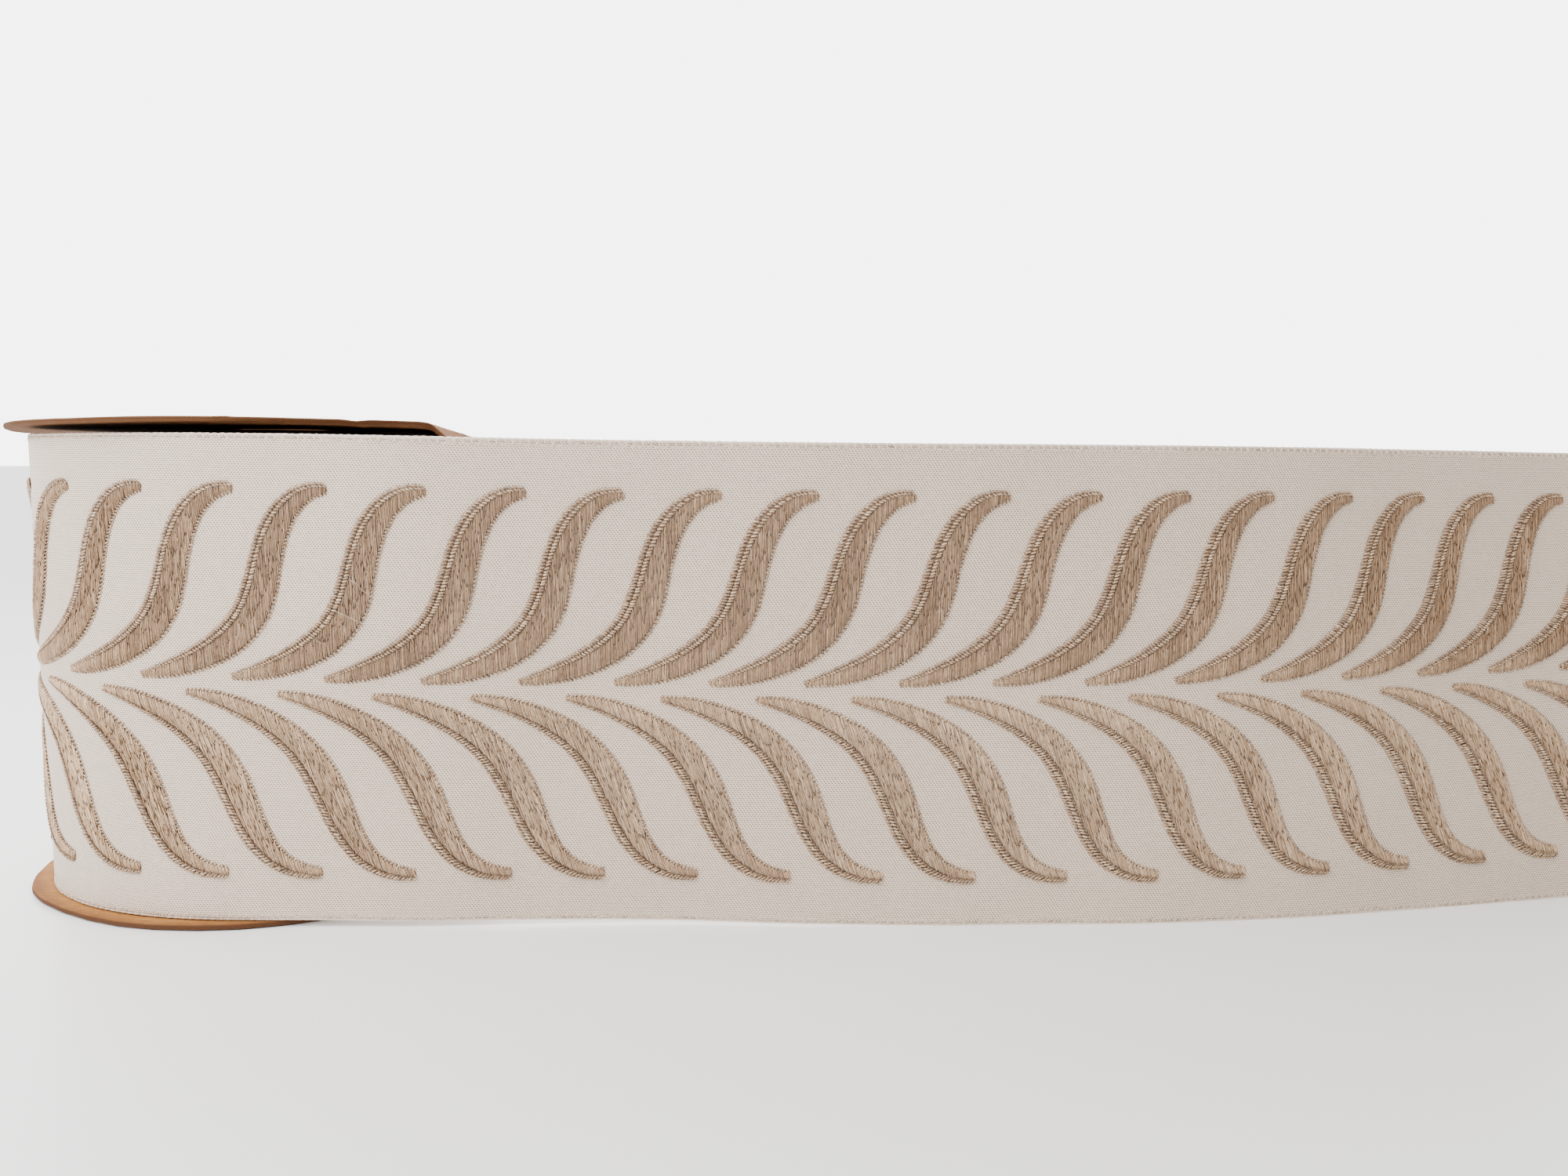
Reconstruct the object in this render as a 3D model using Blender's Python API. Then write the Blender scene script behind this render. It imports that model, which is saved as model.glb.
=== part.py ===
"""Embroidered trim tape wound on a card reel, its outer turn pulled loose and run out to the right.

Metres, +Z up. The reel stands on its lower flange, and the loose tape stands on its lower edge.
The embroidered face of the tape looks towards -Y. The origin is on the surface that the part
stands on, at the middle of its footprint.
"""
import math

import bmesh
import bpy
from mathutils import Matrix, Vector
from mathutils.kdtree import KDTree

# Driving dimensions
GAP = 0.0003                       # between pieces that touch
TAPE_WIDTH = 0.100
TAPE_THICKNESS = 0.0012
ROLL_RADIUS = 0.046                # outside of the outermost tight turn
HUB_RADIUS = 0.018
SPINDLE_HOLE_RADIUS = 0.0095
FLANGE_RADIUS = 0.05715
FLANGE_THICKNESS = 0.0012
TOP_FLANGE_HEIGHT = 0.1035         # underside of the upper flange
SAG_DISTANCE = 0.020               # from the reel's axis to where the left of that flange sags
LEFT_SAG = 0.0009
FOLD_DISTANCE = 0.0455             # from the reel's axis to the fold in the upper flange
FOLD_ANGLE = math.radians(38)
FOLD_STEPS = 3                     # the fold is a tight bend of this many flats
FOLD_WIDTH = 0.0012

# Loose tape, a row for each bend: the distance along it from where it leaves the roll, in
# millimetres, and the way it heads there, in degrees from +X towards +Y
BENDS = (
    (0, -90.0),
    (14, -90.0),
    (28, -72.0),
    (36, -54.0),
    (44, -39.0),
    (52, -31.4),
    (66, -16.3),
    (81, -5.2),
    (96, 0.0),
    (120, 1.6),
    (144, 5.6),
    (160, 2.3),
    (180, -0.7),
    (200, -1.9),
    (231, 0.2),
    (276, 3.3),
    (306, 6.7),
    (336, 10.6),
    (360, 11.2),
    (400, 11.8),
)
# Loose tape, a row for each station: the distance along it in millimetres, the height of its lower
# edge above the surface in millimetres, and the lean of its upper edge towards -Y in degrees
HANG = (
    (0, 1.5, 0.0),
    (38, 1.5, -0.3),
    (88, 1.5, 0.8),
    (138, 1.1, 4.2),
    (188, 0.4, 3.3),
    (238, 0.0, 0.2),
    (320, 0.0, -4.6),
    (378, 0.0, -8.2),
    (400, 0.0, -8.4),
)

# Fineness
PATH_STEP = 0.001                  # step in which the loose tape's way is added up
OUTLINE_STEP = 5                   # path steps from one outline point to the next
ROLL_POINTS = 96                   # outline points round the roll
DISC_POINTS = 96
HOLE_POINTS = 48
ROOT_ANGLE = math.radians(5)       # how far round the roll the loose turn is parted from it

BOTTOM_OF_ROLL = FLANGE_THICKNESS + GAP
HUB_TOP = TOP_FLANGE_HEIGHT - GAP


def smooth(table, column, distance):
    """Value of a table's column at a distance, eased through its rows as a Catmull-Rom curve."""
    last = len(table) - 1
    row = 0
    while row < last - 1 and distance > table[row + 1][0]:
        row += 1
    before, start, end, after = (table[min(max(row + k, 0), last)] for k in (-1, 0, 1, 2))
    span = end[0] - start[0]
    part = min(max((distance - start[0]) / span, 0.0), 1.0)
    slope_in = (end[column] - before[column]) / (end[0] - before[0]) * span
    slope_out = (after[column] - start[column]) / (after[0] - start[0]) * span
    rise = end[column] - start[column]
    return (start[column] + slope_in * part
            + (3 * rise - 2 * slope_in - slope_out) * part ** 2
            + (slope_in + slope_out - 2 * rise) * part ** 3)


def loose_path():
    """Stations of the loose tape's mid plane from the roll outwards, with the reel's axis at zero.

    Each station is its place, its heading, the height of its lower edge and its lean.
    """
    place = Vector((-(ROLL_RADIUS - TAPE_THICKNESS / 2), 0.0))
    stations = []
    for step in range(round(BENDS[-1][0] / 1000 / PATH_STEP) + 1):
        distance = step * PATH_STEP * 1000
        heading = math.radians(smooth(BENDS, 1, distance))
        edge = max(smooth(HANG, 1, distance), 0.0) / 1000
        lean = math.radians(smooth(HANG, 2, distance))
        stations.append((place.copy(), heading, edge, lean))
        place += PATH_STEP * Vector((math.cos(heading), math.sin(heading)))
    return stations


def outward(heading):
    """Unit vector across the loose tape, towards its embroidered face."""
    return Vector((math.sin(heading), -math.cos(heading)))


def roll_wall():
    """Outline round the roll, clockwise from its left side, stepping in by one thickness."""
    points = []
    turn = 2 * math.pi - ROOT_ANGLE
    for k in range(1, ROLL_POINTS + 1):
        angle = math.pi - turn * k / ROLL_POINTS
        radius = ROLL_RADIUS - TAPE_THICKNESS * k / ROLL_POINTS
        points.append(Vector((radius * math.cos(angle), radius * math.sin(angle))))
    return points


def tape_outline(stations):
    """Outline of the roll and the loose tape, seen from above."""
    chosen = stations[::OUTLINE_STEP]
    half = TAPE_THICKNESS / 2
    outer = [place + half * outward(heading) for place, heading, _, _ in chosen]
    inner = [place - half * outward(heading) for place, heading, _, _ in chosen[1:]]
    return roll_wall() + inner + outer[::-1]


def circle(radius, count):
    """Points of a circle about the reel's axis."""
    turns = [2 * math.pi * k / count for k in range(count)]
    return [Vector((radius * math.cos(a), radius * math.sin(a))) for a in turns]


def plate(name, outlines, low, high, material, collection):
    """Mesh object of flat outlines filled and extruded between two heights."""
    curve = bpy.data.curves.new(name, "CURVE")
    curve.dimensions = "2D"
    curve.fill_mode = "BOTH"
    curve.extrude = (high - low) / 2
    for outline in outlines:
        spline = curve.splines.new("POLY")
        spline.points.add(len(outline) - 1)
        for point, place in zip(spline.points, outline):
            point.co = (place.x, place.y, 0.0, 1.0)
        spline.use_cyclic_u = True
    drawn = bpy.data.objects.new(name + "_outline", curve)
    drawn.location = (0.0, 0.0, (low + high) / 2)
    collection.objects.link(drawn)
    bpy.context.view_layer.update()
    graph = bpy.context.evaluated_depsgraph_get()
    mesh = bpy.data.meshes.new_from_object(drawn.evaluated_get(graph))
    placed = drawn.matrix_world.copy()
    bpy.data.objects.remove(drawn)
    bpy.data.curves.remove(curve)
    shape = bmesh.new()
    shape.from_mesh(mesh)
    bmesh.ops.remove_doubles(shape, verts=shape.verts, dist=0.000001)
    bmesh.ops.transform(shape, matrix=placed, verts=shape.verts)
    bmesh.ops.recalc_face_normals(shape, faces=shape.faces)
    shape.to_mesh(mesh)
    shape.free()
    mesh.materials.clear()
    mesh.materials.append(material)
    piece = bpy.data.objects.new(name, mesh)
    collection.objects.link(piece)
    return piece


def hang(piece, stations):
    """Lower and lean the loose part of the tape, as it hangs from the roll and stands on its edge."""
    tree = KDTree(len(stations))
    for index, (place, _, _, _) in enumerate(stations):
        tree.insert((place.x, place.y, 0.0), index)
    tree.balance()
    reach = 0.55 * TAPE_THICKNESS
    for vertex in piece.data.vertices:
        x, y, z = vertex.co
        _, index, distance = tree.find((x, y, 0.0))
        if distance > reach:
            continue
        _, heading, edge, lean = stations[index]
        height = z - BOTTOM_OF_ROLL
        aside = height * math.sin(lean) * outward(heading)
        vertex.co = (x + aside.x, y + aside.y, edge + height * math.cos(lean))


def cut_across(shape, distance):
    """Put a straight line of edges across a flat shape, at a distance along X."""
    everything = shape.verts[:] + shape.edges[:] + shape.faces[:]
    at = (distance, 0.0, 0.0)
    bmesh.ops.bisect_plane(shape, geom=everything, plane_co=at, plane_no=(1.0, 0.0, 0.0))


def warp(piece):
    """Bend the upper flange's right-hand segment down along a straight fold, and sag its left."""
    shape = bmesh.new()
    shape.from_mesh(piece.data)
    folds = [FOLD_DISTANCE + FOLD_WIDTH * step / FOLD_STEPS for step in range(FOLD_STEPS)]
    for distance in [-SAG_DISTANCE] + folds:
        cut_across(shape, distance)
    turn = Matrix.Rotation(FOLD_ANGLE / FOLD_STEPS, 3, Vector((0.0, 1.0, 0.0)))
    for distance in reversed(folds):
        line = Vector((distance, 0.0, TOP_FLANGE_HEIGHT))
        beyond = [vertex for vertex in shape.verts if vertex.co.x > distance + 0.00001]
        bmesh.ops.rotate(shape, cent=line, matrix=turn, verts=beyond)
    for vertex in shape.verts:
        out = max(-vertex.co.x - SAG_DISTANCE, 0.0) / (FLANGE_RADIUS - SAG_DISTANCE)
        vertex.co.z -= LEFT_SAG * out ** 2
    bmesh.ops.triangulate(shape, faces=shape.faces)
    shape.to_mesh(piece.data)
    shape.free()


def add_hub(flange, material, collection):
    """Join the plain card hub, which carries the upper flange, to the lower flange."""
    outlines = [circle(HUB_RADIUS, HOLE_POINTS), circle(SPINDLE_HOLE_RADIUS, HOLE_POINTS)]
    hub = plate("hub", outlines, FLANGE_THICKNESS / 2, HUB_TOP, material, collection)
    union = flange.modifiers.new("hub", "BOOLEAN")
    union.operation = "UNION"
    union.solver = "EXACT"
    union.object = hub
    bpy.context.view_layer.update()
    graph = bpy.context.evaluated_depsgraph_get()
    joined = bpy.data.meshes.new_from_object(flange.evaluated_get(graph))
    flange.modifiers.clear()
    flange.data = joined
    bpy.data.objects.remove(hub)


def make_material(name, color, roughness):
    """Plain material of one colour."""
    material = bpy.data.materials.new(name)
    material.use_nodes = True
    surface = material.node_tree.nodes["Principled BSDF"]
    surface.inputs["Base Color"].default_value = (*color, 1.0)
    surface.inputs["Roughness"].default_value = roughness
    surface.inputs["Metallic"].default_value = 0.0
    return material


def centre_on_base(pieces, reach_box):
    """Shift the pieces so that the origin is at the middle of the footprint."""
    low, high = reach_box
    shift = Matrix.Translation((-(low[0] + high[0]) / 2, -(low[1] + high[1]) / 2, 0.0))
    for piece in pieces:
        piece.data.transform(shift)


def footprint(pieces):
    """Lowest and highest X and Y of the pieces."""
    corners = [vertex.co for piece in pieces for vertex in piece.data.vertices]
    low = (min(c.x for c in corners), min(c.y for c in corners))
    high = (max(c.x for c in corners), max(c.y for c in corners))
    return low, high


def build():
    for old in list(bpy.data.objects):
        bpy.data.objects.remove(old)
    collection = bpy.data.collections.new("embroidered_trim")
    bpy.context.scene.collection.children.link(collection)
    satin = make_material("satin", (0.62, 0.55, 0.49), 0.55)
    card = make_material("card", (0.42, 0.25, 0.12), 0.85)

    stations = loose_path()
    eye = circle(HUB_RADIUS + GAP, HOLE_POINTS)
    tape = plate("tape", [tape_outline(stations), eye], BOTTOM_OF_ROLL,
                 BOTTOM_OF_ROLL + TAPE_WIDTH, satin, collection)
    hang(tape, stations)

    rim = circle(FLANGE_RADIUS, DISC_POINTS)
    hole = circle(SPINDLE_HOLE_RADIUS, HOLE_POINTS)
    lower = plate("flange_bottom", [rim, hole], 0.0, FLANGE_THICKNESS, card, collection)
    add_hub(lower, card, collection)
    upper = plate("flange_top", [rim, hole], TOP_FLANGE_HEIGHT,
                  TOP_FLANGE_HEIGHT + FLANGE_THICKNESS, card, collection)
    warp(upper)

    pieces = [tape, lower, upper]
    centre_on_base(pieces, footprint(pieces))
    for piece in pieces:
        piece.data.shade_smooth()
        piece.data.set_sharp_from_angle(angle=math.radians(35))


build()
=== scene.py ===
"""Looks of the embroidered trim on its card reel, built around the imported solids.

Lengths in the tables are in millimetres along and across the tape laid flat: s runs along it from
where the loose turn leaves the roll (less than zero on the roll), v runs up from its lower edge, and
out stands off its middle towards the embroidered face. on_tape() takes them to the tape as it lies.
"""

import math

import bpy
import numpy as np
from mathutils import Matrix, Vector


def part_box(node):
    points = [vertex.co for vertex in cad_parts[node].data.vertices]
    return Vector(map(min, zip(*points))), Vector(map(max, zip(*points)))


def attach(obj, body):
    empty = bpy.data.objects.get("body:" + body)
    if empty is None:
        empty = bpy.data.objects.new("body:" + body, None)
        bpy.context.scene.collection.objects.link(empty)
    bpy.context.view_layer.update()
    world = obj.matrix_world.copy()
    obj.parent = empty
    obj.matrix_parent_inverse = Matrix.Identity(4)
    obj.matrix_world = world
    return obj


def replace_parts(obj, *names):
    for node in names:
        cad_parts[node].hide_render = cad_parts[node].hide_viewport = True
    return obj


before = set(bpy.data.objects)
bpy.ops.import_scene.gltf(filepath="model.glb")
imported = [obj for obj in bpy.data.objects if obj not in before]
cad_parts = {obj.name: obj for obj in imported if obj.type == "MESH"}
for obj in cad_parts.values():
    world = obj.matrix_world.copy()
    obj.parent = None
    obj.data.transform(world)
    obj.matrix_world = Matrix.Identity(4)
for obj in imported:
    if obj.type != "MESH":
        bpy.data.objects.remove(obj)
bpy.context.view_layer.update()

MM = 0.001
lower_low, lower_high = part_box("flange_bottom")
_, upper_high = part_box("flange_top")
AXIS = np.array([(lower_low.x + lower_high.x) / 2, (lower_low.y + lower_high.y) / 2]) / MM
FLANGE_RADIUS = (lower_high.x - lower_low.x) / 2 / MM
FLANGE_THICKNESS = 1.2
UPPER_UNDER = upper_high.z / MM - FLANGE_THICKNESS
UPPER_THICKNESS = 1.0                    # the crushed upper card is thinner than the lower one
HUB_TOP = lower_high.z / MM

# The tape as it lies, from the part's own sizes
TAPE_WIDTH = 100.0
TURN_PITCH = 1.2                         # from one turn of the roll to the next
ROLL_MIDDLE = 45.4                       # radius of the last turn's middle where it leaves the roll
HUB_RADIUS = 18.0
HOLE_RADIUS = 9.5
ROLL_EDGE = 1.5                          # height of the roll's lower end
LAST_TURN = 283.0                        # length of the last tight turn
LOOSE_LENGTH = 400.0
SELVEDGE_PITCH = 1.6                     # from one turn of the weft at a selvedge to the next

# Distance along the loose tape and the way it heads there, in degrees from +X towards +Y
BENDS = np.array((
    (0, -90.0), (14, -90.0), (28, -72.0), (36, -54.0), (44, -39.0), (52, -31.4), (66, -16.3),
    (81, -5.2), (96, 0.0), (120, 1.6), (144, 5.6), (160, 2.3), (180, -0.7), (200, -1.9),
    (231, 0.2), (276, 3.3), (306, 6.7), (336, 10.6), (360, 11.2), (400, 11.8),
))
# Distance along the loose tape, the height of its lower edge, and the lean of its upper edge
# towards -Y in degrees
HANG = np.array((
    (0, 1.5, 0.0), (38, 1.5, -0.3), (88, 1.5, 0.8), (138, 1.1, 4.2), (188, 0.4, 3.3),
    (238, 0.0, 0.2), (320, 0.0, -4.6), (378, 0.0, -8.2), (400, 0.0, -8.4),
))

# Folded, sagging and crushed upper flange, and the roll pressed down beneath it
SAG_DISTANCE = 20.0
LEFT_SAG = 1.2
BACK_SAG = 0.8
FRONT_LIFT = 0.45
FOLD_DISTANCE = 45.5
FOLD_ANGLE = math.radians(38)
FOLD_WIDTH = 1.2
DROOP_HEADING = math.radians(17)         # way the card droops behind the fold, from +X towards +Y
DROOP_DISTANCE = 33.4                    # from the axis to where the droop starts
DROOP_SLOPE = math.tan(math.radians(12.5))
DROOP_EASE = 2.0                         # length over which the droop sets in
PRESS_CLEARANCE = 1.4                    # fall of the card before it meets the roll's upper edge
PRESS_END = 40.0                         # s where the loose tape has left the card

# Steps and layers
CARD_SEGMENTS = 288                      # steps round each disc
TURN_STEPS = 96                          # steps to a turn of the roll
CARD_WAVES = 21000.0                     # radians a metre of the layers in the card's cut edge

# Embroidery, measured on the flat tape
PITCH = 19.32                            # from one leaf to the next
UPPER_ROOT = (54.37, 51.4)               # s and v of one root of each row
LOWER_ROOT = (63.79, 48.05)
GROUND_FACE = 0.35                       # out of the satin's face
GROUND_BACK = -0.45
LEAF_HEIGHT = 0.5                        # of the padding under the stitches
FILL_PITCH = 0.31                        # between the threads of the fill
BORDER_PITCH = 0.70                      # between the stitches of the whipped border
EDGE_PITCH = 0.82                        # between the stitches of the other edge
GROUP_SIZE = 12                          # leaves in one piece
WEAVE_ALONG = 0.66                       # from one dot of the satin to the next
WEAVE_UP = 0.42                          # from one row of dots to the next

# A leaf of each row: the share of its length from the root, its heading there in degrees, its width
# there and the width of its whipped border
UPPER_LEAF = np.array((
    (0.00, 9.0, 1.0, 0.4), (0.07, 13.5, 2.7, 0.7), (0.14, 18.5, 4.1, 1.0), (0.23, 25.5, 5.4, 1.4),
    (0.33, 36.0, 6.6, 1.7), (0.42, 51.0, 7.2, 1.9), (0.51, 67.0, 7.5, 2.1), (0.59, 74.5, 7.2, 2.1),
    (0.66, 74.0, 6.8, 2.0), (0.75, 65.5, 6.3, 2.0), (0.82, 53.0, 5.5, 1.8), (0.89, 36.0, 4.4, 1.4),
    (0.95, 15.0, 3.2, 1.0), (1.00, 3.0, 2.0, 0.7),
))
LOWER_LEAF = np.array((
    (0.00, -8.0, 0.9, 0.3), (0.05, -10.5, 2.1, 0.5), (0.15, -20.0, 3.7, 0.8),
    (0.26, -29.0, 5.0, 1.2), (0.37, -42.0, 6.2, 1.6), (0.47, -56.0, 7.1, 1.9),
    (0.56, -66.5, 7.5, 2.0), (0.66, -69.5, 7.0, 2.0), (0.76, -59.0, 6.0, 1.9),
    (0.85, -38.0, 4.6, 1.6), (0.94, -12.0, 3.2, 1.2), (1.00, -2.0, 2.3, 0.8),
))
UPPER_LENGTH = 61.0
LOWER_LENGTH = 63.6
UPPER_REACH = 44.0                       # how far a leaf reaches along the tape
LOWER_REACH = 48.0

# Lines of stitches along a leaf's border: where they start and end as shares of its width, and
# their tone
UPPER_BORDER = ((1.16, 0.46, 0.62), (0.50, -0.04, 0.76))
# the lower leaves' third line, narrow and dark, is painted shade standing in for a groove beside the
# fill
LOWER_BORDER = ((1.14, 0.64, 0.68), (0.74, 0.18, 0.80), (0.18, 0.06, 0.44))

# Camera of the photograph, placed from the reel's axis
CAMERA_PLACE = (AXIS[0] + 122.6, AXIS[1] - 285.4, 96.8)
CAMERA_PITCH = math.radians(6.33)
CAMERA_ROLL = math.radians(0.23)
FOCAL_SHARE = 0.737                      # focal length as a share of the picture's width
SENSOR_WIDTH = 36.0

# Light
SURROUND = 0.40                          # of the room all round
BACKDROP = 5.5                           # added behind the part
# Soft round lights: name, place, target, size and power in metres and watts, and colour
LAMPS = (
    ("key", (-0.44, -0.36, 0.44), (-0.14, 0, 0.06), 0.45, 6.0, (0.90, 0.95, 1.0)),
    ("overhead", (-0.20, -0.20, 0.75), (-0.12, 0, 0.05), 0.7, 7.0, (1.0, 0.94, 0.87)),
)

rng = np.random.default_rng(11)


def eased(table, column, at):
    """A table's column at the places in at, eased through its rows as a Catmull-Rom curve."""
    x, y = table[:, 0], table[:, column]
    last = len(x) - 1
    at = np.asarray(at, float)
    row = np.clip(np.searchsorted(x, at) - 1, 0, last - 1)
    before, end, after = np.maximum(row - 1, 0), row + 1, np.minimum(row + 2, last)
    span = x[end] - x[row]
    part = np.clip((at - x[row]) / span, 0, 1)
    slope_in = (y[end] - y[before]) / (x[end] - x[before]) * span
    slope_out = (y[after] - y[row]) / (x[after] - x[row]) * span
    rise = y[end] - y[row]
    return (y[row] + slope_in * part + (3 * rise - 2 * slope_in - slope_out) * part ** 2
            + (slope_in + slope_out - 2 * rise) * part ** 3)


def loose_stations():
    """Middle of the loose tape at each millimetre: x, y, heading, lower edge and lean."""
    s = np.arange(0, LOOSE_LENGTH + 1)
    heading = np.radians(eased(BENDS, 1, s))
    x = AXIS[0] - ROLL_MIDDLE + np.concatenate([[0], np.cumsum(np.cos(heading))[:-1]])
    y = AXIS[1] + np.concatenate([[0], np.cumsum(np.sin(heading))[:-1]])
    edge = np.maximum(eased(HANG, 1, s), 0)
    lean = np.radians(eased(HANG, 2, s))
    return s, x, y, heading, edge, lean


STATIONS = loose_stations()


def ripple(s, v):
    """Slight unevenness of the hung tape, which dies out on the roll."""
    soft = np.clip(s / 60, 0, 1)
    wave = (0.22 * np.sin(s / 23 + 0.8) * np.sin(v / 31 + 0.4)
            + 0.16 * np.sin(s / 11.3 + v / 19 + 1.1) + 0.10 * np.sin(s / 6.1 - v / 13))
    return soft * wave


def droop(x, y):
    """Fall of the upper flange at its back right, at places from the reel's axis."""
    past = x * math.cos(DROOP_HEADING) + y * math.sin(DROOP_HEADING) - DROOP_DISTANCE
    return DROOP_SLOPE * (np.sqrt(past ** 2 + DROOP_EASE ** 2) + past - DROOP_EASE / 2).clip(0) / 2


def on_tape(s, v, out):
    """Places in metres of the flat coordinates s, v and out.

    On the roll the tape winds inwards by TURN_PITCH a turn, and its upper edge is pressed down under
    the fallen part of the upper disc.
    """
    s, v, out = (np.asarray(a, float) for a in np.broadcast_arrays(s, v, out))
    k = TURN_PITCH / (4 * math.pi)
    back = np.maximum(-s, 0)
    turned = (ROLL_MIDDLE - np.sqrt(ROLL_MIDDLE ** 2 - 4 * k * back)) / (2 * k)
    radius = ROLL_MIDDLE - TURN_PITCH * turned / (2 * math.pi)
    angle = math.pi - turned
    grid = STATIONS[0]
    wound = s < 0
    x = np.where(wound, AXIS[0] + radius * np.cos(angle), np.interp(s, grid, STATIONS[1]))
    y = np.where(wound, AXIS[1] + radius * np.sin(angle), np.interp(s, grid, STATIONS[2]))
    heading = np.where(wound, angle - 1.5 * math.pi, np.interp(s, grid, STATIONS[3]))
    edge = np.where(wound, ROLL_EDGE, np.interp(s, grid, STATIONS[4]))
    lean = np.where(wound, 0.0, np.interp(s, grid, STATIONS[5]))
    out = out + ripple(s, v)
    fall = droop(x - AXIS[0], y - AXIS[1])
    pressed = np.where(s < PRESS_END, np.maximum(fall - PRESS_CLEARANCE, 0), 0.0)
    edge = edge - pressed * np.clip(v / TAPE_WIDTH, 0, 1) ** 6
    across = out * np.cos(lean) + v * np.sin(lean)
    x = x + np.sin(heading) * across
    y = y - np.cos(heading) * across
    z = edge + v * np.cos(lean) - out * np.sin(lean)
    return np.stack([x, y, z], -1) * MM


def mesh_piece(name, verts, faces, material, tone=None, flat=None, grain=None):
    """Smooth mesh piece from arrays of points and of faces of one or more sizes."""
    mesh = bpy.data.meshes.new(name)
    groups = [np.asarray(f, np.int32) for f in faces if len(f)]
    sizes = np.concatenate([np.full(len(f), f.shape[1], np.int32) for f in groups])
    loops = np.concatenate([f.ravel() for f in groups])
    starts = np.concatenate([[0], np.cumsum(sizes)[:-1]]).astype(np.int32)
    mesh.vertices.add(len(verts))
    mesh.vertices.foreach_set("co", np.asarray(verts, np.float32).ravel())
    mesh.loops.add(len(loops))
    mesh.loops.foreach_set("vertex_index", loops)
    mesh.polygons.add(len(sizes))
    mesh.polygons.foreach_set("loop_start", starts)
    mesh.update(calc_edges=True)
    mesh.validate()
    mesh.shade_smooth()
    if tone is not None:
        mesh.attributes.new("tone", "FLOAT", "POINT")
        mesh.attributes["tone"].data.foreach_set("value", np.asarray(tone, np.float32))
    for label, value in (("flat", flat), ("grain", grain)):
        if value is not None:
            mesh.attributes.new(label, "FLOAT_VECTOR", "POINT")
            mesh.attributes[label].data.foreach_set("vector", np.asarray(value, np.float32).ravel())
    mesh.materials.append(material)
    piece = bpy.data.objects.new(name, mesh)
    bpy.context.scene.collection.objects.link(piece)
    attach(piece, "root")
    return piece


def grid_faces(rows, columns, wrap_columns=False, wrap_rows=False):
    """Quads of a grid of points laid out row by row."""
    r = np.arange(rows if wrap_rows else rows - 1)
    c = np.arange(columns if wrap_columns else columns - 1)
    r, c = np.meshgrid(r, c, indexing="ij")
    r, c = r.ravel(), c.ravel()
    r1, c1 = (r + 1) % rows, (c + 1) % columns
    return np.stack([r * columns + c, r1 * columns + c, r1 * columns + c1, r * columns + c1], -1)


# Node materials
class Nodes:
    """Short names for building one material's nodes."""

    def __init__(self, name):
        self.material = bpy.data.materials.new(name)
        self.material.use_nodes = True
        self.tree = self.material.node_tree
        self.surface = self.tree.nodes["Principled BSDF"]

    def add(self, kind, inputs=(), **settings):
        node = self.tree.nodes.new(kind)
        for key, value in settings.items():
            setattr(node, key, value)
        for key, value in dict(inputs).items():
            if isinstance(value, bpy.types.NodeSocket):
                self.tree.links.new(value, node.inputs[key])
            else:
                node.inputs[key].default_value = value
        return node

    def math(self, operation, first, second=0.0, clamp=False):
        node = self.add("ShaderNodeMath", {0: first, 1: second}, operation=operation)
        node.use_clamp = clamp
        return node.outputs[0]

    def vector(self, operation, first, second=(0.0, 0.0, 0.0), output=0):
        node = self.add("ShaderNodeVectorMath", {0: first, 1: second}, operation=operation)
        return node.outputs[output]

    def ranged(self, value, low, high, at_low, at_high):
        inputs = {"Value": value, "From Min": low, "From Max": high, "To Min": at_low, "To Max": at_high}
        return self.add("ShaderNodeMapRange", inputs).outputs[0]

    def mix(self, factor, first, second):
        node = self.add("ShaderNodeMix", data_type="RGBA")
        for index, value in ((0, factor), (6, first), (7, second)):
            if isinstance(value, bpy.types.NodeSocket):
                self.tree.links.new(value, node.inputs[index])
            else:
                node.inputs[index].default_value = value
        return node.outputs[2]

    def ramp(self, factor, stops):
        node = self.add("ShaderNodeValToRGB", {"Fac": factor})
        while len(node.color_ramp.elements) < len(stops):
            node.color_ramp.elements.new(0.5)
        for element, (place, color) in zip(node.color_ramp.elements, stops):
            element.position = place
            element.color = color
        return node.outputs["Color"]

    def noise(self, scale, vector=None, detail=3.0, roughness=0.5):
        inputs = {"Scale": scale, "Detail": detail, "Roughness": roughness}
        if vector is not None:
            inputs["Vector"] = vector
        return self.add("ShaderNodeTexNoise", inputs).outputs["Fac"]

    def bump(self, height, distance, strength):
        inputs = {"Height": height, "Distance": distance, "Strength": strength}
        return self.add("ShaderNodeBump", inputs).outputs["Normal"]

    def use(self, **inputs):
        for key, value in inputs.items():
            socket = self.surface.inputs[key.replace("_", " ")]
            if isinstance(value, bpy.types.NodeSocket):
                self.tree.links.new(value, socket)
            else:
                socket.default_value = value
        return self.material


def rgb(red, green, blue):
    """Scene colour of an 8-bit screen colour."""
    def one(c):
        c /= 255
        return c / 12.92 if c <= 0.04045 else ((c + 0.055) / 1.055) ** 2.4
    return (one(red), one(green), one(blue), 1.0)


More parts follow.
